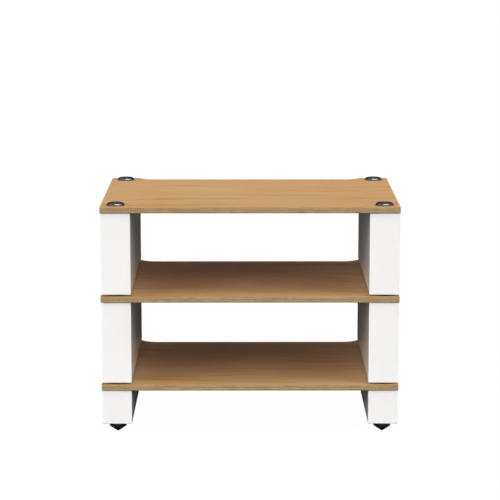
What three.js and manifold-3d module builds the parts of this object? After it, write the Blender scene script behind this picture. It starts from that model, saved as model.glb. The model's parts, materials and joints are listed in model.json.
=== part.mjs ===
// Audio equipment rack of three stacked tiers, in millimetres, +Z up.
// The origin is on the floor under the middle of the rack, the front faces -Y and +X is to the right.
// A tier is one plywood shelf held on two lacquered side supports by cups that screw down through it.
// The base tier stands on the floor on four turned spikes. In the tall supports of the other tiers
// the same spikes sit in recesses and stand in the cups of the tier below.
import * as THREE from 'three';
import { mergeVertices } from 'three/addons/utils/BufferGeometryUtils.js';
import Module from 'manifold-3d';

const wasm = await Module();
wasm.setup();

// Shelf: an oak-veneered plywood board with a shallow cable recess in its rear edge
const shelfWidth = 600;
const shelfDepth = 415;
const shelfThickness = 12;
const shelfCornerRadius = 2.5;
const shelfArris = 1.2;
const recessMouthWidth = 480;
const recessDepth = 23;
const recessCornerRadius = 38;

// Supports: solid lacquered blocks that run under both ends of a shelf
const supportWidth = 60;
const supportSideInset = 0.8;
const supportEndInset = 3;
const supportCornerRadius = 2;
const supportArris = 1.5;
const tallSupportHeight = 166;
const baseSupportHeight = 70;

// Fixings lie on the centre line of each support, this far in from the shelf's front and rear edges
const fixingInset = 30;
const studDiameter = 8;
const studClearance = 0.3;
const seatClearance = 0.3;

// Cup: a low black button whose dish takes the spike of the tier above
const cupDiameter = 36.4;
const cupHeight = 5.2;
const cupLipHeight = 1;
const cupFlatDiameter = 26;
const dishMouthDiameter = 9;
const dishFloorDiameter = 3;
const dishDepth = 2;
const cupThreadEngagement = 14;

// Spike: a wide turned cone on a collar, with the threaded stud above it
const spikeDiameter = 35;
const spikeTipDiameter = 1.6;
const spikeConeHeight = 12.5;
const spikeRimHeight = 0.9;
const spikeCollarDiameter = 20;
const spikeCollarHeight = 8.5;
const spikeStudLength = 18;

// Threaded sleeve insert that takes the stud of a cup or a spike
const insertDiameter = 12;
const insertLength = 20;

// Stacking: the open gap between a tall support and the shelf below, and the recess that hides the spike
const tierGap = 3.4;
const spikeRecessDiameter = 40;

// How finely round stretches are stepped
const arcSteps = 2;
const recessArcSteps = 3;
const shoulderSteps = 3;
const turnedSides = 20;
const boreSides = 12;
const cutOverrun = 5;

const standOff = spikeCollarHeight + spikeConeHeight;
const supportDepth = shelfDepth - 2 * supportEndInset;
const fixingX = shelfWidth / 2 - supportSideInset - supportWidth / 2;
const fixingY = shelfDepth / 2 - fixingInset;
const supportBoreDiameter = insertDiameter + 2 * seatClearance;
const studBoreDiameter = studDiameter + 2 * studClearance;

// The flat of a shelf that a unit can stand on: between the supports, from the front arris to the recess
const bayWidth = 2 * (fixingX - supportWidth / 2 - seatClearance);
const bayFront = -shelfDepth / 2 + shelfArris;
const bayRear = shelfDepth / 2 - recessDepth - shelfArris;

// The tip of a stacked spike hovers just over the floor of the dish below it
const stackedTipRise = cupHeight - dishDepth + seatClearance;
const spikeRecessDepth = standOff + stackedTipRise - tierGap;

const finishes = {
  veneer: { color: 0xc89d6e, roughness: 0.45, metalness: 0 },
  lacquer: { color: 0xf4f3f1, roughness: 0.35, metalness: 0 },
  blackChrome: { color: 0x1c1c1e, roughness: 0.22, metalness: 0.9 },
  zinc: { color: 0xb9b7ae, roughness: 0.4, metalness: 1 },
};

const sides = [
  { name: 'left', sign: -1 },
  { name: 'right', sign: 1 },
];

const corners = [
  { name: 'front_left', x: -fixingX, y: -fixingY },
  { name: 'front_right', x: fixingX, y: -fixingY },
  { name: 'rear_left', x: -fixingX, y: fixingY },
  { name: 'rear_right', x: fixingX, y: fixingY },
];

function named(name, geometry, finish, x, y, z) {
  const mesh = new THREE.Mesh(geometry, new THREE.MeshStandardMaterial(finish));
  mesh.name = name;
  mesh.position.set(x, y, z);
  return mesh;
}

// A closed geometry as a solid that can be cut
function solid(geometry) {
  const bare = geometry.clone();
  bare.deleteAttribute('normal');
  bare.deleteAttribute('uv');
  const merged = mergeVertices(bare);
  const mesh = new wasm.Mesh({
    numProp: 3,
    vertProperties: new Float32Array(merged.attributes.position.array),
    triVerts: new Uint32Array(merged.index.array),
  });
  mesh.merge();
  return new wasm.Manifold(mesh);
}

function geometryOf(manifold) {
  const { vertProperties, triVerts } = manifold.getMesh();
  const geometry = new THREE.BufferGeometry();
  geometry.setAttribute('position', new THREE.BufferAttribute(vertProperties, 3));
  geometry.setIndex(new THREE.BufferAttribute(triVerts, 1));
  geometry.computeVertexNormals();
  return geometry;
}

// A round cutter that stands on the centre (x, y) between two heights
function boreCutter(diameter, x, y, low, high, sideCount) {
  const cutter = new THREE.CylinderGeometry(diameter / 2, diameter / 2, high - low, sideCount);
  cutter.rotateX(Math.PI / 2);
  cutter.translate(x, y, (low + high) / 2);
  return solid(cutter);
}

// A flat outline made into a board that starts at height zero, with its top and bottom edges broken
function board(outline, thickness, arris, curveSegments) {
  const geometry = new THREE.ExtrudeGeometry(outline, {
    depth: thickness - 2 * arris,
    curveSegments,
    bevelEnabled: true,
    bevelThickness: arris,
    bevelSize: arris,
    bevelOffset: -arris,
    bevelSegments: 1,
  });
  geometry.translate(0, 0, arris);
  return geometry;
}

// A profile of [radius, height] pairs turned about the upright axis
function turned(profile, sideCount) {
  const points = profile.map(([radius, height]) => new THREE.Vector2(radius, height));
  const geometry = new THREE.LatheGeometry(points, sideCount);
  geometry.rotateX(Math.PI / 2);
  return geometry;
}

function shelfOutline() {
  const right = shelfWidth / 2;
  const rear = shelfDepth / 2;
  const corner = shelfCornerRadius;
  const recessCentreY = rear - recessDepth + recessCornerRadius;
  const arcDrop = recessCornerRadius - recessDepth;
  const arcSpread = Math.sqrt(recessCornerRadius ** 2 - arcDrop ** 2);
  const arcStart = Math.asin(arcDrop / recessCornerRadius);
  const recessCentreX = recessMouthWidth / 2 - arcSpread;
  const quarter = Math.PI / 2;

  const outline = new THREE.Shape();
  outline.moveTo(-right + corner, -rear);
  outline.absarc(right - corner, -rear + corner, corner, -quarter, 0, false);
  outline.absarc(right - corner, rear - corner, corner, 0, quarter, false);
  outline.absarc(recessCentreX, recessCentreY, recessCornerRadius, -arcStart, -quarter, true);
  outline.absarc(-recessCentreX, recessCentreY, recessCornerRadius, -quarter, arcStart - Math.PI, true);
  outline.absarc(-right + corner, rear - corner, corner, quarter, Math.PI, false);
  outline.absarc(-right + corner, -rear + corner, corner, Math.PI, Math.PI + quarter, false);
  return outline;
}

// The bay's stretch of the board is let in as a panel, so that the flat for a unit has edges of its own
function shelfGeometry() {
  const bay = new THREE.BoxGeometry(bayWidth, bayRear - bayFront, shelfThickness);
  bay.translate(0, (bayFront + bayRear) / 2, shelfThickness / 2);
  const panel = solid(bay);
  let shelf = solid(board(shelfOutline(), shelfThickness, shelfArris, recessArcSteps));
  shelf = shelf.subtract(panel).add(panel);
  for (const { x, y } of corners) {
    const cutter = boreCutter(studBoreDiameter, x, y, -cutOverrun, shelfThickness + cutOverrun, boreSides);
    shelf = shelf.subtract(cutter);
  }
  return geometryOf(shelf);
}

function supportOutline() {
  const halfWidth = supportWidth / 2 - supportCornerRadius;
  const halfDepth = supportDepth / 2 - supportCornerRadius;
  const quarter = Math.PI / 2;
  const outline = new THREE.Shape();
  outline.moveTo(-halfWidth, -supportDepth / 2);
  outline.absarc(halfWidth, -halfDepth, supportCornerRadius, -quarter, 0, false);
  outline.absarc(halfWidth, halfDepth, supportCornerRadius, 0, quarter, false);
  outline.absarc(-halfWidth, halfDepth, supportCornerRadius, quarter, Math.PI, false);
  outline.absarc(-halfWidth, -halfDepth, supportCornerRadius, Math.PI, Math.PI + quarter, false);
  return outline;
}

// A support has sleeve bores in its top and over the spikes. A tall one also has the spike recesses.
function supportGeometry(height, recess) {
  let support = solid(board(supportOutline(), height, supportArris, arcSteps));
  for (const y of [-fixingY, fixingY]) {
    const upperBore = boreCutter(supportBoreDiameter, 0, y, height - insertLength, height + cutOverrun, boreSides);
    const lowerBore = boreCutter(supportBoreDiameter, 0, y, -cutOverrun, recess + insertLength, boreSides);
    support = support.subtract(upperBore).subtract(lowerBore);
    if (recess > 0) {
      const pocket = boreCutter(spikeRecessDiameter, 0, y, -cutOverrun, recess, turnedSides);
      support = support.subtract(pocket);
    }
  }
  return geometryOf(support);
}

// The cup's underside is at height zero, its stud hangs below
function cupGeometry() {
  const radius = cupDiameter / 2;
  const flatRadius = cupFlatDiameter / 2;
  const profile = [
    [0, -shelfThickness - cupThreadEngagement],
    [studDiameter / 2, -shelfThickness - cupThreadEngagement],
    [studDiameter / 2, 0],
    [radius, 0],
  ];
  for (let step = 0; step <= shoulderSteps; step += 1) {
    const angle = (step / shoulderSteps) * (Math.PI / 2);
    profile.push([
      flatRadius + (radius - flatRadius) * Math.cos(angle),
      cupLipHeight + (cupHeight - cupLipHeight) * Math.sin(angle),
    ]);
  }
  profile.push([dishMouthDiameter / 2, cupHeight]);
  profile.push([dishFloorDiameter / 2, cupHeight - dishDepth]);
  profile.push([0, cupHeight - dishDepth]);
  return turned(profile, turnedSides);
}

// The spike's tip is at height zero
function spikeGeometry() {
  return turned([
    [0, 0],
    [spikeTipDiameter / 2, 0],
    [spikeDiameter / 2, spikeConeHeight - spikeRimHeight],
    [spikeDiameter / 2, spikeConeHeight],
    [spikeCollarDiameter / 2, spikeConeHeight],
    [spikeCollarDiameter / 2, standOff],
    [studDiameter / 2, standOff],
    [studDiameter / 2, standOff + spikeStudLength],
    [0, standOff + spikeStudLength],
  ], turnedSides);
}

function insertGeometry() {
  const inner = studBoreDiameter / 2;
  const outer = insertDiameter / 2;
  return turned([
    [inner, 0],
    [outer, 0],
    [outer, insertLength],
    [inner, insertLength],
    [inner, 0],
  ], boreSides);
}

const shelfShape = shelfGeometry();
const cupShape = cupGeometry();
const spikeShape = spikeGeometry();
const insertShape = insertGeometry();

// One tier, with height zero at the bottom of its supports
function makeTier(name, spikeName, supportHeight, recess) {
  const tier = new THREE.Group();
  const supportShape = supportGeometry(supportHeight, recess);
  const shelfTop = supportHeight + shelfThickness;

  tier.add(named(`${name}_shelf`, shelfShape, finishes.veneer, 0, 0, supportHeight));
  for (const side of sides) {
    const x = side.sign * fixingX;
    tier.add(named(`${name}_support_${side.name}`, supportShape, finishes.lacquer, x, 0, 0));
  }
  for (const { name: corner, x, y } of corners) {
    const upperInsertZ = supportHeight - insertLength;
    tier.add(named(`${name}_cup_${corner}`, cupShape, finishes.blackChrome, x, y, shelfTop));
    tier.add(named(`${name}_upper_insert_${corner}`, insertShape, finishes.zinc, x, y, upperInsertZ));
    tier.add(named(`${name}_lower_insert_${corner}`, insertShape, finishes.zinc, x, y, recess));
    tier.add(named(`${spikeName}_${corner}`, spikeShape, finishes.blackChrome, x, y, recess - standOff));
  }
  return tier;
}

const rack = new THREE.Group();
const tiers = [
  makeTier('base', 'floor_spike', baseSupportHeight, 0),
  makeTier('middle', 'middle_spike', tallSupportHeight, spikeRecessDepth),
  makeTier('top', 'top_spike', tallSupportHeight, spikeRecessDepth),
];
const tallTierPitch = tierGap + tallSupportHeight + shelfThickness;
const middleTierZ = standOff + baseSupportHeight + shelfThickness + tierGap;
tiers[0].position.z = standOff;
tiers[1].position.z = middleTierZ;
tiers[2].position.z = middleTierZ + tallTierPitch;
for (const tier of tiers) {
  rack.add(tier);
}

export default rack;
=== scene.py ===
# %% [markdown]
# This lesson dresses a low audio rack for its portrait. The rack is three tiers: a thin oak
# shelf on two white blocks, held by round cups that screw down through it. Each upper tier
# stands on spikes in the cups of the tier below, and the base tier stands on the floor.
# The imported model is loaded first. It gives every size and place, and it is never moved.
# Each piece made here takes the place of a plain solid and adds the fine shape and the finish.

# %% Load the model
import json
import math

import bmesh
import bpy
from mathutils import Matrix, Vector


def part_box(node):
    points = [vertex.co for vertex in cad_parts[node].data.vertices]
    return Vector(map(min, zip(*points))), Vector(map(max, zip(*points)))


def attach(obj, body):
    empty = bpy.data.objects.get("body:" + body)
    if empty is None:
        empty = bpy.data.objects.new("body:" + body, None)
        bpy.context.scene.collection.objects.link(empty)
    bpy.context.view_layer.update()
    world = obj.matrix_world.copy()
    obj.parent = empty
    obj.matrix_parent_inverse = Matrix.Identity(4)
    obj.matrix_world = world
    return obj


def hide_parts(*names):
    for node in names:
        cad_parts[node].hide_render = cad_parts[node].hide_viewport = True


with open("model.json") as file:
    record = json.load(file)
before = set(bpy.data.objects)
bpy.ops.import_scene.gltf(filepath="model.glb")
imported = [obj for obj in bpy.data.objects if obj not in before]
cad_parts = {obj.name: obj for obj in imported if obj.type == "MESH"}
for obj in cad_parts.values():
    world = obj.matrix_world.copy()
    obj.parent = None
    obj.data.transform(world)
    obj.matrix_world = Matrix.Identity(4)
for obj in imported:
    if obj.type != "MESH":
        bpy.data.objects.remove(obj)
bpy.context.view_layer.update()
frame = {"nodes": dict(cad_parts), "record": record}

# %% [markdown]
# A maker works in millimetres and Blender in metres, so one scale value stands between them.
# Sizes that the solids have are read from their boxes. The few that a box can't tell, such as
# the radius of a corner, are written once, in the cell that first needs them. The cups, sleeves
# and spikes of a corner all stand on one upright line, and that line is called its fixing.

# %% Sizes from the model
MM = 0.001
TIERS = ["base", "middle", "top"]
SIDES = ["left", "right"]
CORNERS = ["front_left", "front_right", "rear_left", "rear_right"]

shelf_low, shelf_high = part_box("top_shelf")
shelf_width = shelf_high.x - shelf_low.x
shelf_depth = shelf_high.y - shelf_low.y
shelf_thickness = shelf_high.z - shelf_low.z

node_body = {}
for body, members in frame["record"]["behaviour"]["bodies"].items():
    for node in members:
        node_body[node] = body


def centre_of(node):
    """The middle of a solid's box."""
    low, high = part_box(node)
    return (low + high) / 2


fixings = {corner: centre_of(f"top_cup_{corner}") for corner in CORNERS}
print(f"shelf {shelf_width / MM:.0f} x {shelf_depth / MM:.0f} x {shelf_thickness / MM:.0f} mm")

# %% [markdown]
# The camera repeats the photograph's view. Its place and tilt were found by matching the
# corners of the shelves and blocks: a long lens from about four metres, turned ten degrees
# down and almost square to the front. A long lens keeps the shelves' edges nearly level.

# %% Camera
camera_place = (-0.0093, -4.1304, 1.0879)
camera_tilt = math.radians(10.230)
camera_turn = math.radians(0.134)
camera_data = bpy.data.cameras.new("portrait_camera")
camera_data.sensor_width = 36
camera_data.lens = 143.87
camera_data.clip_end = 200
camera = bpy.data.objects.new("portrait_camera", camera_data)
bpy.context.scene.collection.objects.link(camera)
camera.location = camera_place
camera.rotation_euler = (math.pi / 2 - camera_tilt, 0, -camera_turn)
bpy.context.scene.camera = camera
bpy.context.scene.view_settings.view_transform = "Standard"
print("camera lens", round(camera_data.lens, 2), "mm, place", camera_place)

# %% [markdown]
# Shader patterns are sums of textures, and sums are easier to read as Python than as a web of
# nodes. A Wire holds one output socket. Adding or multiplying wires adds the Math node, and
# its make method adds any other node from its type, its settings and its inputs.


# %% A wire between shader nodes
class Wire:
    """One output socket of a node tree, ready to be used in a sum."""

    def __init__(self, tree, socket=None):
        self.tree = tree
        self.socket = socket

    def make(self, kind, settings=None, inputs=None, output=0):
        """Adds a node to the tree and gives one of its outputs."""
        node = self.tree.nodes.new(kind)
        for name, value in (settings or {}).items():
            if name == "stops":
                self.set_stops(node.color_ramp, value)
            else:
                setattr(node, name, value)
        for name, value in (inputs or {}).items():
            target = self.find(node.inputs, name)
            if isinstance(value, Wire):
                self.tree.links.new(value.socket, target)
            else:
                target.default_value = value
        return Wire(self.tree, self.find(node.outputs, output))

    @staticmethod
    def find(sockets, name):
        """A socket by its number, or by its name among those that the node shows."""
        if isinstance(name, int):
            return sockets[name]
        return next(s for s in sockets if s.name == name and not s.is_unavailable)

    @staticmethod
    def set_stops(ramp, stops):
        """Gives a colour ramp its stops, each a position and a colour."""
        while len(ramp.elements) < len(stops):
            ramp.elements.new(1)
        for element, (position, colour) in zip(ramp.elements, stops):
            element.position = position
            element.color = colour

    def math(self, operation, first, second):
        return self.make("ShaderNodeMath", {"operation": operation}, {0: first, 1: second})

    def __add__(self, other):
        return self.math("ADD", self, other)

    def __radd__(self, other):
        return self.math("ADD", other, self)

    def __sub__(self, other):
        return self.math("SUBTRACT", self, other)

    def __rsub__(self, other):
        return self.math("SUBTRACT", other, self)

    def __mul__(self, other):
        return self.math("MULTIPLY", self, other)

    def __rmul__(self, other):
        return self.math("MULTIPLY", other, self)

    def most(self, other):
        return self.math("MAXIMUM", self, other)

    def ease(self, low, high, to_low=0.0, to_high=1.0):
        """Runs smoothly from to_low to to_high while the wire goes from low to high."""
        return self.make(
            "ShaderNodeMapRange",
            {"interpolation_type": "SMOOTHSTEP"},
            {
                "Value": self,
                "From Min": low,
                "From Max": high,
                "To Min": to_low,
                "To Max": to_high,
            },
        )

    def mix(self, first, second):
        """The first colour where the wire is 0 and the second where it is 1."""
        return self.make(
            "ShaderNodeMix",
            {"data_type": "RGBA", "clamp_factor": True},
            {"Factor": self, "A": first, "B": second},
            output="Result",
        )

    def tint(self, share, other):
        """This colour multiplied by another one, as far as the share goes."""
        return self.make(
            "ShaderNodeMix",
            {"data_type": "RGBA", "blend_type": "MULTIPLY"},
            {"Factor": share, "A": self, "B": other},
            output="Result",
        )


print("a wire can be added, subtracted, multiplied, eased and mixed")

# %% [markdown]
# Colours are easiest to pick as a screen shows them, 0 to 255 a channel, but shaders work with
# amounts of light. The paint function turns one into the other. Every finish then starts from
# an empty material, a wire to build on and the socket that takes the finished surface.


# %% Paint and empty materials
def paint(red, green, blue):
    """A colour as a screen shows it, 0 to 255 a channel, as amounts of light."""
    linear = []
    for channel in (red, green, blue):
        share = channel / 255
        linear.append(share / 12.92 if share <= 0.04045 else ((share + 0.055) / 1.055) ** 2.4)
    return (*linear, 1)


def new_material(name):
    """An empty material, a wire to build on, and the output's surface socket."""
    material = bpy.data.materials.new(name)
    material.use_nodes = True
    material.node_tree.nodes.clear()
    output = material.node_tree.nodes.new("ShaderNodeOutputMaterial")
    return material, Wire(material.node_tree), output.inputs["Surface"]


print("a mid grey of 188 on screen is", round(paint(188, 188, 188)[0], 3), "in light")

# %% [markdown]
# In the studio the rack stands on a wide pale floor with no wall behind it. To look at, the
# floor and the air are plain white. Is Camera Ray picks out the rays of the eye, and the rays
# of gloss and glass are added so that shiny pieces show the same white. A small share of the
# floor stays matt, which keeps a trace of the rack's shadow. The light that the floor throws
# back up is kept low, because the undersides in the photograph are dark.

# %% Floor and air
FLOOR_SIZE = 120
floor_glow_share = 0.98
floor_paint = (0.9, 0.9, 0.9, 1)
floor_bounce = (0.05, 0.05, 0.05, 1)
room_light = 0.08
white_light = (1, 1, 1, 1)


def flat_sheet(name, width, depth, matrix=Matrix()):
    """A flat rectangle that a matrix puts in place."""
    bm = bmesh.new()
    bmesh.ops.create_grid(bm, x_segments=1, y_segments=1, size=0.5)
    bmesh.ops.scale(bm, vec=(width, depth, 1), verts=bm.verts)
    bmesh.ops.transform(bm, matrix=matrix, verts=bm.verts)
    mesh = bpy.data.meshes.new(name)
    bm.to_mesh(mesh)
    bm.free()
    sheet = bpy.data.objects.new(name, mesh)
    bpy.context.scene.collection.objects.link(sheet)
    return sheet


def seen_rays(wire):
    """1 for rays of the eye, of gloss and of glass, and 0 for rays that only carry light."""
    camera_ray = wire.make("ShaderNodeLightPath", output="Is Camera Ray")
    glossy_ray = wire.make("ShaderNodeLightPath", output="Is Glossy Ray")
    glass_ray = wire.make("ShaderNodeLightPath", output="Is Transmission Ray")
    return camera_ray.most(glossy_ray).most(glass_ray)


def floor_material():
    """White to look at, but dark to the light that it throws back up."""
    material, wire, surface = new_material("studio_floor")
    seen = seen_rays(wire)
    shade = seen.mix(floor_bounce, floor_paint)
    matt = wire.make("ShaderNodeBsdfDiffuse", inputs={"Color": shade})
    glow = wire.make("ShaderNodeEmission", inputs={"Color": white_light, "Strength": 1})
    both = wire.make("ShaderNodeMixShader", inputs={0: seen * floor_glow_share, 1: matt, 2: glow})
    wire.tree.links.new(both.socket, surface)
    return material


def make_floor():
    floor = flat_sheet("studio_floor", FLOOR_SIZE, FLOOR_SIZE)
    floor.data.materials.append(floor_material())


def make_air():
    """White to look at, and a faint even light on the rack."""
    world = bpy.data.worlds.new("studio_air")
    world.use_nodes = True
    tree = world.node_tree
    tree.nodes.clear()
    wire = Wire(tree)
    lit = wire.make("ShaderNodeBackground", inputs={"Color": white_light, "Strength": room_light})
    white = wire.make("ShaderNodeBackground", inputs={"Color": white_light, "Strength": 1})
    both = wire.make("ShaderNodeMixShader", inputs={0: seen_rays(wire), 1: lit, 2: white})
    output = tree.nodes.new("ShaderNodeOutputWorld")
    tree.links.new(both.socket, output.inputs["Surface"])
    bpy.context.scene.world = world


make_floor()
make_air()
print("floor", FLOOR_SIZE, "m across, room light", room_light)

# %% [markdown]
# The rack is lit by soft lamps: two a side that rake across the front and into the bays, a
# weaker fill near the camera on each hand, and four overhead. Each is a sun lamp, because a sun
# is equally bright over the whole floor. Most have a wide angle, which softens the shadows as
# the cloth of a softbox does. One lamp overhead is narrow and almost upright, so it lights the
# top board and leaves the bays alone. A last narrow one stands low behind the rack for its
# back. No lamp shows in gloss, so none makes a glare on the boards from any side. What gloss
# sees is made in the next cell.

# %% Lamps
def aim(direction):
    """The turn that points a lamp along a direction."""
    return direction.to_track_quat("-Z", "Y").to_euler()


def dome_light(name, azimuth, elevation, spread, strength):
    """A sun lamp seen at an azimuth from the front and an elevation, in degrees."""
    data = bpy.data.lights.new(name, "SUN")
    data.energy = strength
    data.angle = math.radians(spread)
    lamp = bpy.data.objects.new(name, data)
    turn, rise = math.radians(azimuth), math.radians(elevation)
    level = math.cos(rise)
    towards = Vector((math.sin(turn) * level, -math.cos(turn) * level, math.sin(rise)))
    lamp.rotation_euler = aim(-towards)
    lamp.visible_glossy = False
    bpy.context.scene.collection.objects.link(lamp)
    return lamp


# A row holds a name, the azimuth, elevation and spread in degrees, and the strength.
lamp_plan = [
    ("left_side", -76, 26, 40, 1.16),
    ("right_side", 76, 26, 40, 1.16),
    ("left_low", -60, 15, 38, 1.66),
    ("right_low", 60, 15, 38, 1.26),
    ("left_fill", -38, 18, 30, 0.66),
    ("right_fill", 38, 30, 30, 0.46),
    ("overhead_left", -60, 70, 26, 0.10),
    ("overhead", 40, 76, 25, 0.82),
    ("overhead_right", 60, 70, 26, 0.15),
    ("overhead_steep", 180, 87, 10, 0.62),
    ("rear_fill", 180, 1.5, 3, 1.00),
]
lamps = [dome_light(*plan) for plan in lamp_plan]
print("lamps:", len(lamps))

# %% [markdown]
# Gloss seen at a low angle mirrors whatever stands behind the rack. A photographer keeps that
# reflection quiet with dark cards, called flags: a black one stands low behind the rack, a grey
# one stands above that, and a black one lies on the floor, as wide as the rack and running back
# from its front edge. A bright card hangs overhead, a little to the right and to the front,
# and draws the wide soft highlight on the cups. The cards are seen by the rays of gloss alone,
# so they throw no shadow and show only as reflections.

# %% Cards for gloss
flag_width = 6
flag_distance = 1.6
flag_split = 0.40
flag_top = 3
floor_gap = 0.0005
low_flag_glow = 0.036
high_flag_glow = 0.10
floor_flag_glow = 0.012
bright_card_width = 5.8
bright_card_depth = 2.9
bright_card_place = Matrix.Translation((2.1, -2.3, 6))
bright_card_glow = 9.2


def gloss_card(name, width, depth, matrix, glow):
    """A glowing card that only the rays of gloss see."""
    card = flat_sheet(name, width, depth, matrix)
    material, wire, surface = new_material(name)
    lit = wire.make("ShaderNodeEmission", inputs={"Color": white_light, "Strength": glow})
    wire.tree.links.new(lit.socket, surface)
    card.data.materials.append(material)
    card.visible_camera = False
    card.visible_diffuse = False
    card.visible_transmission = False
    card.visible_volume_scatter = False
    card.visible_shadow = False


def stand_up(low, high):
    """Stands a card up behind the rack, between two heights."""
    place = Matrix.Translation((0, flag_distance, (low + high) / 2))
    return place @ Matrix.Rotation(math.pi / 2, 4, "X")


under_depth = flag_distance + shelf_depth / 2
under_place = Matrix.Translation((0, flag_distance - under_depth / 2, floor_gap))
low_place = stand_up(0, flag_split)
high_place = stand_up(flag_split, flag_top)
gloss_card("flag_low", flag_width, flag_split, low_place, low_flag_glow)
gloss_card("flag_high", flag_width, flag_top - flag_split, high_place, high_flag_glow)
gloss_card("flag_below", shelf_width, under_depth, under_place, floor_flag_glow)
gloss_card(
    "bright_card", bright_card_width, bright_card_depth, bright_card_place, bright_card_glow
)
print("three flags stand behind and below the rack, and a bright card hangs over it")

# %% [markdown]
# Oak veneer is a thin leaf sliced from a log. Its tone drifts slowly, and long lens-shaped
# patches run along it where the knife met a wider growth ring: most are darker and redder, a
# few are paler. Growth lines wander between them, and short dark pores lie along the grain.
# Each layer is a noise stretched along X, the way the grain runs. Object coordinates keep the
# pattern on the board when it moves, and their height makes each shelf's leaf a different one.

# %% Oak veneer
def stretched_noise(wire, place, scale, detail=2.0, roughness=0.5, move=(0, 0, 0)):
    """Noise with its own scale along each axis, in cells a metre."""
    mapping = {"Vector": place, "Scale": scale, "Location": move}
    mapped = wire.make("ShaderNodeMapping", inputs=mapping)
    inputs = {"Vector": mapped, "Scale": 1.0, "Detail": detail, "Roughness": roughness}
    return wire.make("ShaderNodeTexNoise", {"noise_dimensions": "3D"}, inputs)


veneer_dark = paint(178, 127, 66)
veneer_mid = paint(188, 147, 97)
veneer_light = paint(196, 160, 124)
pore_brown = paint(142, 100, 59)
pore_relief = 0.05 * MM
grain_wander = 110 * MM


def oak_veneer():
    material, wire, surface = new_material("oak_veneer")
    place = wire.make("ShaderNodeTexCoord", output="Object")
    wander = stretched_noise(wire, place, (1.7, 4.5, 9.0), detail=2.0)
    shift = wire.make("ShaderNodeCombineXYZ", inputs={"Y": (wander - 0.5) * grain_wander})
    bent = wire.make("ShaderNodeVectorMath", {"operation": "ADD"}, {0: place, 1: shift})

    drift = stretched_noise(wire, place, (1.4, 12.0, 9.0), detail=1.0, move=(3, 1, 2))
    dark_lens = stretched_noise(wire, bent, (3.6, 58.0, 30.0), detail=3.0, move=(1, 7, 0))
    pale_lens = stretched_noise(wire, bent, (4.5, 75.0, 30.0), detail=3.0, move=(5, 2, 4))
    lines = stretched_noise(wire, bent, (2.2, 210.0, 30.0), detail=3.0, roughness=0.6)
    fibres = stretched_noise(wire, place, (9.0, 900.0, 300.0), detail=2.0, roughness=0.6)
    dashes = stretched_noise(wire, place, (60.0, 1500.0, 900.0), detail=0.0)

    feather = lines.ease(0.30, 0.65, 0.55, 1.25)
    tone = 0.54 + (drift - 0.5) * 0.40 + (lines - 0.5) * 0.42 + (fibres - 0.5) * 0.30
    tone = tone - dark_lens.ease(0.53, 0.72) * feather * 0.72
    tone = tone + pale_lens.ease(0.55, 0.72) * (1.7 - feather) * 0.55
    leaf = tone.make(
        "ShaderNodeValToRGB",
        {"stops": [(0.15, veneer_dark), (0.5, veneer_mid), (0.85, veneer_light)]},
        {"Fac": tone},
    )
    pores = dashes.ease(0.66, 0.74) * (lines.ease(0.35, 0.65, 0.8, 0.2))
    colour = (pores * 0.6).mix(leaf, pore_brown)
    height = fibres * 0.4 - pores
    bump = wire.make(
        "ShaderNodeBump",
        inputs={"Strength": 0.25, "Distance": pore_relief, "Height": height},
    )
    shader = wire.make(
        "ShaderNodeBsdfPrincipled",
        inputs={
            "Base Color": colour,
            "Roughness": 0.40 + (fibres - 0.5) * 0.12 + pores * 0.15,
            "Specular IOR Level": 0.35,
            "Normal": bump,
        },
    )
    wire.tree.links.new(shader.socket, surface)
    return material


veneer_finish = oak_veneer()
print("veneer nodes:", len(veneer_finish.node_tree.nodes))

# %% [markdown]
# The edge of the board shows its plies: thin leaves glued crosswise, pale and dark by turns,
# with glue lines that wander a little. Height inside the board picks the ply. A Mapping node
# brings each board's underside to zero, so every shelf has its own copy of the finish.

# %% Plywood edge
ply_tones = [
    (0.00, paint(146, 118, 79)),
    (0.08, paint(164, 138, 98)),
    (0.22, paint(166, 141, 102)),
    (0.32, paint(179, 155, 116)),
    (0.42, paint(168, 142, 102)),
    (0.56, paint(165, 138, 99)),
    (0.68, paint(171, 146, 108)),
    (0.80, paint(178, 154, 118)),
    (0.90, paint(169, 144, 109)),
    (0.96, paint(160, 127, 87)),
]
patch_tints = [
    (0.34, paint(255, 255, 255)),
    (0.50, paint(247, 246, 242)),
    (0.70, paint(224, 217, 201)),
]
streak_shade = paint(216, 210, 194)
ply_relief = 0.08 * MM


def ply_edge(name, underside):
    """The edge finish of the board whose underside is at a height."""
    material, wire, surface = new_material(name)
    place = wire.make("ShaderNodeTexCoord", output="Object")
    local = wire.make(
        "ShaderNodeMapping",
        {"vector_type": "TEXTURE"},
        {"Vector": place, "Location": (0, 0, underside), "Scale": (1, 1, shelf_thickness)},
    )
    level = wire.make("ShaderNodeSeparateXYZ", inputs={"Vector": local}, output="Z")
    waves = stretched_noise(wire, place, (26.0, 26.0, 60.0), detail=2.0)
    teeth = stretched_noise(wire, place, (190.0, 190.0, 120.0), detail=1.0)
    streaks = stretched_noise(wire, place, (22.0, 22.0, 700.0), detail=3.0, roughness=0.6)
    patches = stretched_noise(wire, place, (60.0, 60.0, 220.0), detail=3.0, roughness=0.7)
    level = level + (waves - 0.5) * 0.30 + (teeth - 0.5) * 0.12
    plies = level.make("ShaderNodeValToRGB", {"stops": ply_tones}, {"Fac": level})
    tints = patches.make("ShaderNodeValToRGB", {"stops": patch_tints}, {"Fac": patches})
    patched = plies.tint(1.0, tints)
    darker = patched.tint(streaks.ease(0.42, 0.7, 0.0, 0.55), streak_shade)
    bump = wire.make(
        "ShaderNodeBump",
        inputs={"Strength": 0.3, "Distance": ply_relief, "Height": streaks},
    )
    shader = wire.make(
        "ShaderNodeBsdfPrincipled",
        inputs={
            "Base Color": darker,
            "Roughness": 0.55 + (streaks - 0.5) * 0.2,
            "Specular IOR Level": 0.3,
            "Normal": bump,
        },
    )
    wire.tree.links.new(shader.socket, surface)
    return material


print("tones from the underside to the top of the edge:", len(ply_tones))

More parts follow.
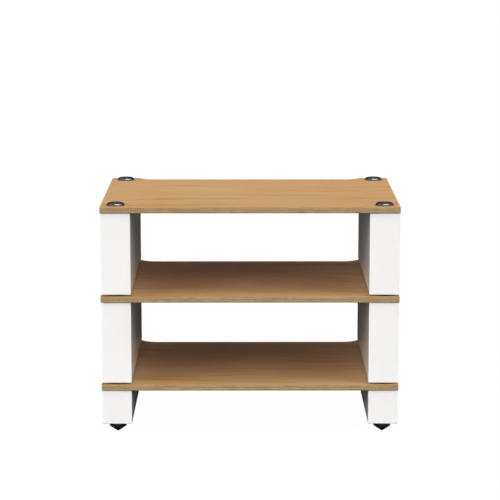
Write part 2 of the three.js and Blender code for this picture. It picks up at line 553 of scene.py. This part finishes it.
# %% [markdown]
# The blocks are sprayed in a white satin lacquer. Sprayed lacquer is never quite flat: it
# keeps a faint orange peel, and its sheen varies a little where the film is thicker. The
# colour stays nearly even, with the least trace of warm shade drifting over it. A clear coat
# lies over the white, so a face seen at a low angle mirrors what stands around the rack.

# %% White lacquer
lacquer_white = paint(246, 245, 243)
lacquer_shade = paint(243, 242, 240)
peel_relief = 0.03 * MM


def white_lacquer():
    material, wire, surface = new_material("white_lacquer")
    place = wire.make("ShaderNodeTexCoord", output="Object")
    drift = stretched_noise(wire, place, (9.0, 9.0, 7.0), detail=3.0)
    peel = stretched_noise(wire, place, (420.0, 420.0, 420.0), detail=1.0)
    bump = wire.make(
        "ShaderNodeBump",
        inputs={"Strength": 0.12, "Distance": peel_relief, "Height": peel},
    )
    shader = wire.make(
        "ShaderNodeBsdfPrincipled",
        inputs={
            "Base Color": drift.ease(0.35, 0.7).mix(lacquer_white, lacquer_shade),
            "Roughness": 0.30 + (drift - 0.5) * 0.06,
            "Coat Weight": 0.9,
            "Coat Roughness": 0.04,
            "Normal": bump,
        },
    )
    wire.tree.links.new(shader.socket, surface)
    return material


lacquer_finish = white_lacquer()
print("lacquer nodes:", len(lacquer_finish.node_tree.nodes))

# %% [markdown]
# Cups and spikes are turned steel with a black chrome plate. A lathe leaves fine rings round
# the axis, which a bump on the distance from the axis repeats. The Mapping node sets that
# axis, so each corner of the rack has its own copy. The cups are polished, and the spikes are
# duller and darker. The threaded inserts are plain zinc.

# %% Black chrome and zinc
chrome_black = paint(84, 84, 87)
chrome_worn = paint(98, 98, 100)
spike_black = paint(56, 56, 58)
spike_worn = paint(68, 68, 70)
zinc_grey = paint(186, 184, 176)
zinc_dull = paint(150, 149, 144)
ring_pitch = 0.45 * MM
ring_relief = 0.01 * MM


def turned_metal(name, axis, light, dark, roughness):
    """A metal turned about an upright axis, drifting from a light to a dark tone."""
    material, wire, surface = new_material(name)
    place = wire.make("ShaderNodeTexCoord", output="Object")
    local = wire.make(
        "ShaderNodeMapping",
        {"vector_type": "TEXTURE"},
        {"Vector": place, "Location": (axis.x, axis.y, 0)},
    )
    flat = wire.make("ShaderNodeVectorMath", {"operation": "MULTIPLY"}, {0: local, 1: (1, 1, 0)})
    reach = wire.make("ShaderNodeVectorMath", {"operation": "LENGTH"}, {0: flat}, output="Value")
    height = wire.make("ShaderNodeSeparateXYZ", inputs={"Vector": place}, output="Z")
    turns = (reach + height) * (math.tau / ring_pitch)
    rings = wire.make("ShaderNodeMath", {"operation": "SINE"}, {0: turns})
    film = stretched_noise(wire, place, (180.0, 180.0, 180.0), detail=3.0)
    bump = wire.make(
        "ShaderNodeBump",
        inputs={"Strength": 0.08, "Distance": ring_relief, "Height": rings},
    )
    shader = wire.make(
        "ShaderNodeBsdfPrincipled",
        inputs={
            "Base Color": film.ease(0.4, 0.7).mix(light, dark),
            "Metallic": 1.0,
            "Roughness": roughness + (film - 0.5) * 0.08,
            "Normal": bump,
        },
    )
    wire.tree.links.new(shader.socket, surface)
    return material


def corner_finishes(name, light, dark, roughness):
    """One copy of a turned metal for each corner, centred on its fixing."""
    return {
        corner: turned_metal(f"{name}_{corner}", fixing, light, dark, roughness)
        for corner, fixing in fixings.items()
    }


chrome_finish = corner_finishes("black_chrome", chrome_worn, chrome_black, 0.25)
spike_finish = corner_finishes("black_spike", spike_worn, spike_black, 0.32)
zinc_finish = corner_finishes("zinc", zinc_grey, zinc_dull, 0.35)
print("turned finishes:", len(chrome_finish) + len(spike_finish) + len(zinc_finish))

# %% [markdown]
# Every mesh is finished the same way. Doubles are merged and the faces turned outwards, then
# it is shaded smooth with sharp edges where it really has them. The Weighted Normal modifier
# keeps large flats flat beside their rounded edges. Last, the piece takes its body from the
# solid that it stands for. Boards and blocks share three more helpers: one pulls a flat outline
# up to its height, one draws a level ring, and one fills a flat again around such rings.

# %% Finish a mesh
SHARP_ANGLE = math.radians(38)
WELD = 0.001 * MM
ARRIS_STEPS = 4


def finish_piece(bm, node, name, materials):
    """Turns a bmesh into the piece that stands for a solid."""
    bmesh.ops.remove_doubles(bm, verts=bm.verts, dist=WELD)
    bmesh.ops.recalc_face_normals(bm, faces=bm.faces)
    mesh = bpy.data.meshes.new(name)
    bm.to_mesh(mesh)
    bm.free()
    for material in materials:
        mesh.materials.append(material)
    mesh.shade_smooth()
    mesh.set_sharp_from_angle(angle=SHARP_ANGLE)
    piece = bpy.data.objects.new(name, mesh)
    bpy.context.scene.collection.objects.link(piece)
    weighted = piece.modifiers.new("even_normals", "WEIGHTED_NORMAL")
    weighted.keep_sharp = True
    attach(piece, node_body[node])
    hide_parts(node)
    return piece


def ring_of_edges(bm, x, y, z, radius, steps):
    """A circle of edges that lies level."""
    place = Matrix.Translation((x, y, z))
    made = bmesh.ops.create_circle(
        bm, cap_ends=False, radius=radius, segments=steps, matrix=place
    )
    return list({edge for vert in made["verts"] for edge in vert.link_edges})


def pierce(bm, flat, rings):
    """Fills a flat face again, leaving its rings open."""
    border = list(flat.edges)
    bmesh.ops.delete(bm, geom=[flat], context="FACES_ONLY")
    bmesh.ops.triangle_fill(bm, use_beauty=True, use_dissolve=False, edges=border + rings)


def level_faces(bm, z):
    """The flat faces that lie at a height."""
    return [f for f in bm.faces if all(abs(v.co.z - z) < WELD for v in f.verts)]


def largest_level_face(bm, z):
    """The flat that bores and holes are cut into."""
    return max(level_faces(bm, z), key=lambda face: face.calc_area())


def pull_up(bm, height, arris):
    """Pulls a flat outline's face up into a block and eases its top and bottom edges."""
    pulled = bmesh.ops.extrude_face_region(bm, geom=bm.faces[:])
    risen = [item for item in pulled["geom"] if isinstance(item, bmesh.types.BMVert)]
    bmesh.ops.translate(bm, vec=(0, 0, height), verts=risen)
    bmesh.ops.recalc_face_normals(bm, faces=bm.faces)
    rims = [e for e in bm.edges if abs(e.verts[0].co.z - e.verts[1].co.z) < WELD]
    bmesh.ops.bevel(
        bm,
        geom=rims,
        affect="EDGES",
        offset=arris,
        segments=ARRIS_STEPS,
        profile=0.5,
        material=-1,
    )


print("pieces are welded at", WELD / MM, "mm")

# %% [markdown]
# A shelf is cut from a 12 mm board. The right half of its outline is drawn first: straight runs
# between new vertices, and arcs made by spinning the last vertex about their centre. A mirror
# adds the left half. The outline is filled, pulled up to the board's thickness and eased all
# round before the four stud holes are opened. The two flats are veneer, and the rest is ply.

# %% Shelves
shelf_corner_radius = 2.5 * MM
shelf_arris = 1.2 * MM
recess_mouth = 480 * MM
recess_depth = 23 * MM
recess_radius = 38 * MM
stud_hole_radius = 4.3 * MM
HOLE_STEPS = 40
BOARD_CORNER_STEPS = 8
RECESS_STEPS = 24
VENEER_INDEX = 0
PLY_INDEX = 1


def line_to(bm, start, x, y):
    """Adds a straight run to an outline and gives its end."""
    end = bm.verts.new((x, y, start.co.z))
    bm.edges.new((start, end))
    return end


def arc_to(bm, start, centre, angle, steps):
    """Spins the last vertex of an outline about a centre and gives the arc's end."""
    middle = (*centre, start.co.z)
    made = bmesh.ops.spin(
        bm, geom=[start], cent=middle, axis=(0, 0, 1), angle=angle, steps=steps, use_merge=False
    )
    return next(item for item in made["geom_last"] if isinstance(item, bmesh.types.BMVert))


def shelf_outline(bm, z):
    """The right half of the outline, from the middle of the front to the middle of the rear."""
    right, rear = shelf_width / 2, shelf_depth / 2
    round_off = shelf_corner_radius
    recess_flat = rear - recess_depth
    drop = recess_radius - recess_depth
    reach = math.sqrt(recess_radius**2 - drop**2)
    arc_centre = (recess_mouth / 2 - reach, recess_flat + recess_radius)
    arc_angle = -math.acos(drop / recess_radius)
    front_centre = (right - round_off, round_off - rear)
    rear_centre = (right - round_off, rear - round_off)

    last = bm.verts.new((0, -rear, z))
    last = line_to(bm, last, right - round_off, -rear)
    last = arc_to(bm, last, front_centre, math.pi / 2, BOARD_CORNER_STEPS)
    last = line_to(bm, last, right, rear - round_off)
    last = arc_to(bm, last, rear_centre, math.pi / 2, BOARD_CORNER_STEPS)
    last = line_to(bm, last, recess_mouth / 2, rear)
    last = arc_to(bm, last, arc_centre, arc_angle, RECESS_STEPS)
    line_to(bm, last, 0, recess_flat)
    bmesh.ops.mirror(bm, geom=bm.verts[:] + bm.edges[:], axis="X", merge_dist=WELD)


def open_stud_holes(bm, underside, top):
    """Veneers a board's two flats and opens the stud holes from one to the other."""
    mouths = []
    for z in (underside, top):
        rings = [
            ring_of_edges(bm, fixing.x, fixing.y, z, stud_hole_radius, HOLE_STEPS)
            for fixing in fixings.values()
        ]
        mouths.append(rings)
        pierce(bm, largest_level_face(bm, z), [edge for ring in rings for edge in ring])
        for face in level_faces(bm, z):
            face.material_index = VENEER_INDEX
    for lower, upper in zip(*mouths):
        walls = bmesh.ops.bridge_loops(bm, edges=lower + upper)
        for face in walls["faces"]:
            face.material_index = PLY_INDEX


def make_shelf(tier):
    node = f"{tier}_shelf"
    low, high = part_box(node)
    bm = bmesh.new()
    shelf_outline(bm, low.z)
    bmesh.ops.remove_doubles(bm, verts=bm.verts, dist=WELD)
    bmesh.ops.contextual_create(bm, geom=bm.edges[:])
    pull_up(bm, high.z - low.z, shelf_arris)
    for face in bm.faces:
        face.material_index = PLY_INDEX
    open_stud_holes(bm, low.z, high.z)
    finishes = [veneer_finish, ply_edge(f"ply_edge_{tier}", low.z)]
    return finish_piece(bm, node, f"{node}_board", finishes)


boards = [make_shelf(tier) for tier in TIERS]
print("shelf faces:", [len(board.data.polygons) for board in boards])

# %% [markdown]
# A support is one solid block under each end of a shelf. A rectangle gets round corners by
# bevelling its vertices, is pulled up to height, and has its top and bottom edges eased. The
# sleeves of the fixings sit in bores, and a tall block also has a wide pocket that swallows
# the spike. Rings at each depth are joined by bridging them.

# %% Supports
support_corner_radius = 2 * MM
support_arris = 1.5 * MM
sleeve_bore_radius = 6.3 * MM
sleeve_length = 20 * MM
pocket_radius = 20 * MM
pocket_easing = 0.6 * MM
pocket_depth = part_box("top_lower_insert_front_left")[0].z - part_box("top_support_left")[0].z
BORE_STEPS = 64
BLOCK_CORNER_STEPS = 6


def block_body(bm, low, high):
    """A block with round upright corners and eased edges."""
    place = Matrix.Translation(((low.x + high.x) / 2, (low.y + high.y) / 2, low.z))
    size = Matrix.Diagonal((high.x - low.x, high.y - low.y, 1, 1))
    bmesh.ops.create_grid(bm, x_segments=1, y_segments=1, size=0.5, matrix=place @ size)
    bmesh.ops.bevel(
        bm,
        geom=bm.verts[:],
        affect="VERTICES",
        offset=support_corner_radius,
        segments=BLOCK_CORNER_STEPS,
        profile=0.5,
        material=-1,
    )
    pull_up(bm, high.z - low.z, support_arris)


def bore(bm, x, y, levels):
    """A stepped bore from (height, radius) pairs, closed at its end. Gives its mouth's ring."""
    rings = [ring_of_edges(bm, x, y, z, radius, BORE_STEPS) for z, radius in levels]
    for outer, inner in zip(rings, rings[1:]):
        bmesh.ops.bridge_loops(bm, edges=outer + inner)
    bmesh.ops.contextual_create(bm, geom=rings[-1])
    return rings[0]


def lower_bore_levels(tier, underside):
    """The bore for a spike's sleeve. In a tall block it opens into the spike's pocket."""
    if tier == "base":
        ceiling = underside
        pocket_levels = []
    else:
        ceiling = underside + pocket_depth
        pocket_levels = [
            (underside, pocket_radius + pocket_easing),
            (underside + pocket_easing, pocket_radius),
            (ceiling, pocket_radius),
        ]
    return pocket_levels + [
        (ceiling, sleeve_bore_radius),
        (ceiling + sleeve_length, sleeve_bore_radius),
    ]


def upper_bore_levels(top):
    """The bore for a cup's sleeve."""
    return [(top, sleeve_bore_radius), (top - sleeve_length, sleeve_bore_radius)]


def make_support(tier, side):
    node = f"{tier}_support_{side}"
    low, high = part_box(node)
    bm = bmesh.new()
    block_body(bm, low, high)
    pair = [fixings[f"front_{side}"], fixings[f"rear_{side}"]]
    ends = [(low.z, lower_bore_levels(tier, low.z)), (high.z, upper_bore_levels(high.z))]
    for z, levels in ends:
        flat = largest_level_face(bm, z)
        mouths = [bore(bm, fixing.x, fixing.y, levels) for fixing in pair]
        pierce(bm, flat, [edge for mouth in mouths for edge in mouth])
    return finish_piece(bm, node, f"{node}_block", [lacquer_finish])


blocks = [make_support(tier, side) for tier in TIERS for side in SIDES]
print("support faces:", [len(block.data.polygons) for block in blocks])

# %% [markdown]
# Cups and spikes come off a lathe, so each is a profile spun once round its axis. A profile is
# a list of radius and height. A thread is a zigzag of ridges round the stud, which looks like
# a true helix and is simpler to close. An arc eases an edge, and a bowed line, which is a chord
# given a bend, draws the gently swollen shoulder of a cup.

# %% Turned pieces
stud_radius = 4 * MM
thread_depth = 0.55 * MM
thread_pitch = 1.25 * MM
TURN_STEPS = 96


def spin_profile(profile, axis):
    """Spins a profile of (radius, height) pairs once round an upright axis."""
    bm = bmesh.new()
    verts = [bm.verts.new((axis.x + radius, axis.y, height)) for radius, height in profile]
    edges = [bm.edges.new(pair) for pair in zip(verts, verts[1:])]
    bmesh.ops.spin(
        bm,
        geom=verts + edges,
        cent=(axis.x, axis.y, 0),
        axis=(0, 0, 1),
        angle=math.tau,
        steps=TURN_STEPS,
        use_merge=True,
    )
    return bm


def thread(start, end):
    """The ridges of a stud between two heights, as (radius, height) pairs."""
    count = int(abs(end - start) / thread_pitch)
    step = (end - start) / count
    points = []
    for turn in range(count):
        points.append((stud_radius - thread_depth, start + step * turn))
        points.append((stud_radius, start + step * (turn + 0.5)))
    points.append((stud_radius - thread_depth, end))
    return points


def arc_profile(centre, radius, start, end, steps):
    """An arc in a profile, from a start to an end angle in degrees."""
    points = []
    for step in range(steps + 1):
        angle = math.radians(start + (end - start) * step / steps)
        across = centre[0] + radius * math.cos(angle)
        height = centre[1] + radius * math.sin(angle)
        points.append((across, height))
    return points


def bowed_line(start, end, bend, steps):
    """A line between two points of a profile, bowed outwards by an angle."""
    chord = end - start
    radius = chord.length / 2 / math.sin(bend / 2)
    outwards = Vector((chord.y, -chord.x)).normalized()
    centre = (start + end) / 2 - outwards * radius * math.cos(bend / 2)
    first = math.degrees(math.atan2(start.y - centre.y, start.x - centre.x))
    return arc_profile(centre, radius, first, first + math.degrees(bend), steps)


print("thread pitch", thread_pitch / MM, "mm")

# %% [markdown]
# The cup's profile starts at the foot of its stud, climbs the thread, runs out under the flange
# and comes back over the shoulder to the crown, where a small dish takes the spike of the next
# tier. The foot of the rim and the dish's mouth are eased, because those edges catch the light.

# %% Cups
cup_radius = 18.2 * MM
cup_lip = 1 * MM
cup_flat_radius = 15 * MM
dish_mouth_radius = 4.5 * MM
dish_floor_radius = 1.5 * MM
dish_depth = 2 * MM
lip_easing = 0.3 * MM
mouth_easing = 0.2 * MM
shoulder_bend = math.radians(44)
SHOULDER_STEPS = 20


def cup_profile(foot, seat, crown):
    """From the stud's foot to the dish, with the seat on the shelf and the crown above it."""
    lip = Vector((cup_radius, seat + cup_lip))
    brow = Vector((cup_flat_radius, crown))
    lip_centre = (cup_radius - lip_easing, seat + lip_easing)
    mouth_centre = (dish_mouth_radius + mouth_easing, crown - mouth_easing)
    points = [(0, foot), (stud_radius - 2 * thread_depth, foot)]
    points += thread(foot + thread_depth, seat - thread_pitch)
    points += [(stud_radius - thread_depth, seat), (cup_radius - lip_easing, seat)]
    points += arc_profile(lip_centre, lip_easing, -90, 0, 4)
    points += bowed_line(lip, brow, shoulder_bend, SHOULDER_STEPS)
    points += arc_profile(mouth_centre, mouth_easing, 90, 150, 3)
    points += [(dish_floor_radius, crown - dish_depth), (0, crown - dish_depth)]
    return points


def make_cup(tier, corner):
    node = f"{tier}_cup_{corner}"
    low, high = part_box(node)
    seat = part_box(f"{tier}_shelf")[1].z
    bm = spin_profile(cup_profile(low.z, seat, high.z), fixings[corner])
    return finish_piece(bm, node, f"{node}_turned", [chrome_finish[corner]])


cups = [make_cup(tier, corner) for tier in TIERS for corner in CORNERS]
print("cup faces:", len(cups[0].data.polygons))

# %% [markdown]
# A spike is a wide cone under a collar, with a threaded stud that screws up into the block.
# The base tier's four show under it, and the others hide in the pockets of the tall blocks.
# The rim between cone and collar is eased on both edges, as a lathe tool would leave it.

# %% Spikes
spike_radius = 17.5 * MM
spike_tip_radius = 0.8 * MM
cone_height = 12.5 * MM
rim_height = 0.9 * MM
collar_radius = 10 * MM
collar_height = 8.5 * MM
rim_easing = 0.25 * MM
SPIKE_NODES = {"base": "floor_spike", "middle": "middle_spike", "top": "top_spike"}


def spike_profile(tip, end):
    """From the tip, over the rim and the collar, to the end of the stud."""
    rim_low = tip + cone_height - rim_height
    rim_high = tip + cone_height
    shoulder = rim_high + collar_height
    rim_centre = spike_radius - rim_easing
    collar_centre = collar_radius - rim_easing
    points = [(0, tip), (spike_tip_radius, tip), (rim_centre, rim_low - rim_easing / 2)]
    points += arc_profile((rim_centre, rim_low + rim_easing), rim_easing, -35, 0, 2)
    points += arc_profile((rim_centre, rim_high - rim_easing), rim_easing, 0, 90, 3)
    points += [(collar_radius, rim_high), (collar_radius, shoulder - rim_easing)]
    points += arc_profile((collar_centre, shoulder - rim_easing), rim_easing, 0, 90, 3)
    points += [(stud_radius - thread_depth, shoulder)]
    points += thread(shoulder + thread_pitch, end - thread_depth)
    points += [(stud_radius - 2 * thread_depth, end), (0, end)]
    return points


def make_spike(tier, corner):
    node = f"{SPIKE_NODES[tier]}_{corner}"
    low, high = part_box(node)
    bm = spin_profile(spike_profile(low.z, high.z), fixings[corner])
    return finish_piece(bm, node, f"{node}_turned", [spike_finish[corner]])


spikes = [make_spike(tier, corner) for tier in TIERS for corner in CORNERS]
print("spike faces:", len(spikes[0].data.polygons))

# %% [markdown]
# The threaded inserts are hidden in the blocks, and their solids have the right shape. They
# stay as they are and only take the zinc finish of their corner.

# %% Inserts
for tier in TIERS:
    for corner in CORNERS:
        for level in ("upper", "lower"):
            insert = frame["nodes"][f"{tier}_{level}_insert_{corner}"]
            insert.data.materials.clear()
            insert.data.materials.append(zinc_finish[corner])
print("inserts:", 2 * len(TIERS) * len(CORNERS))
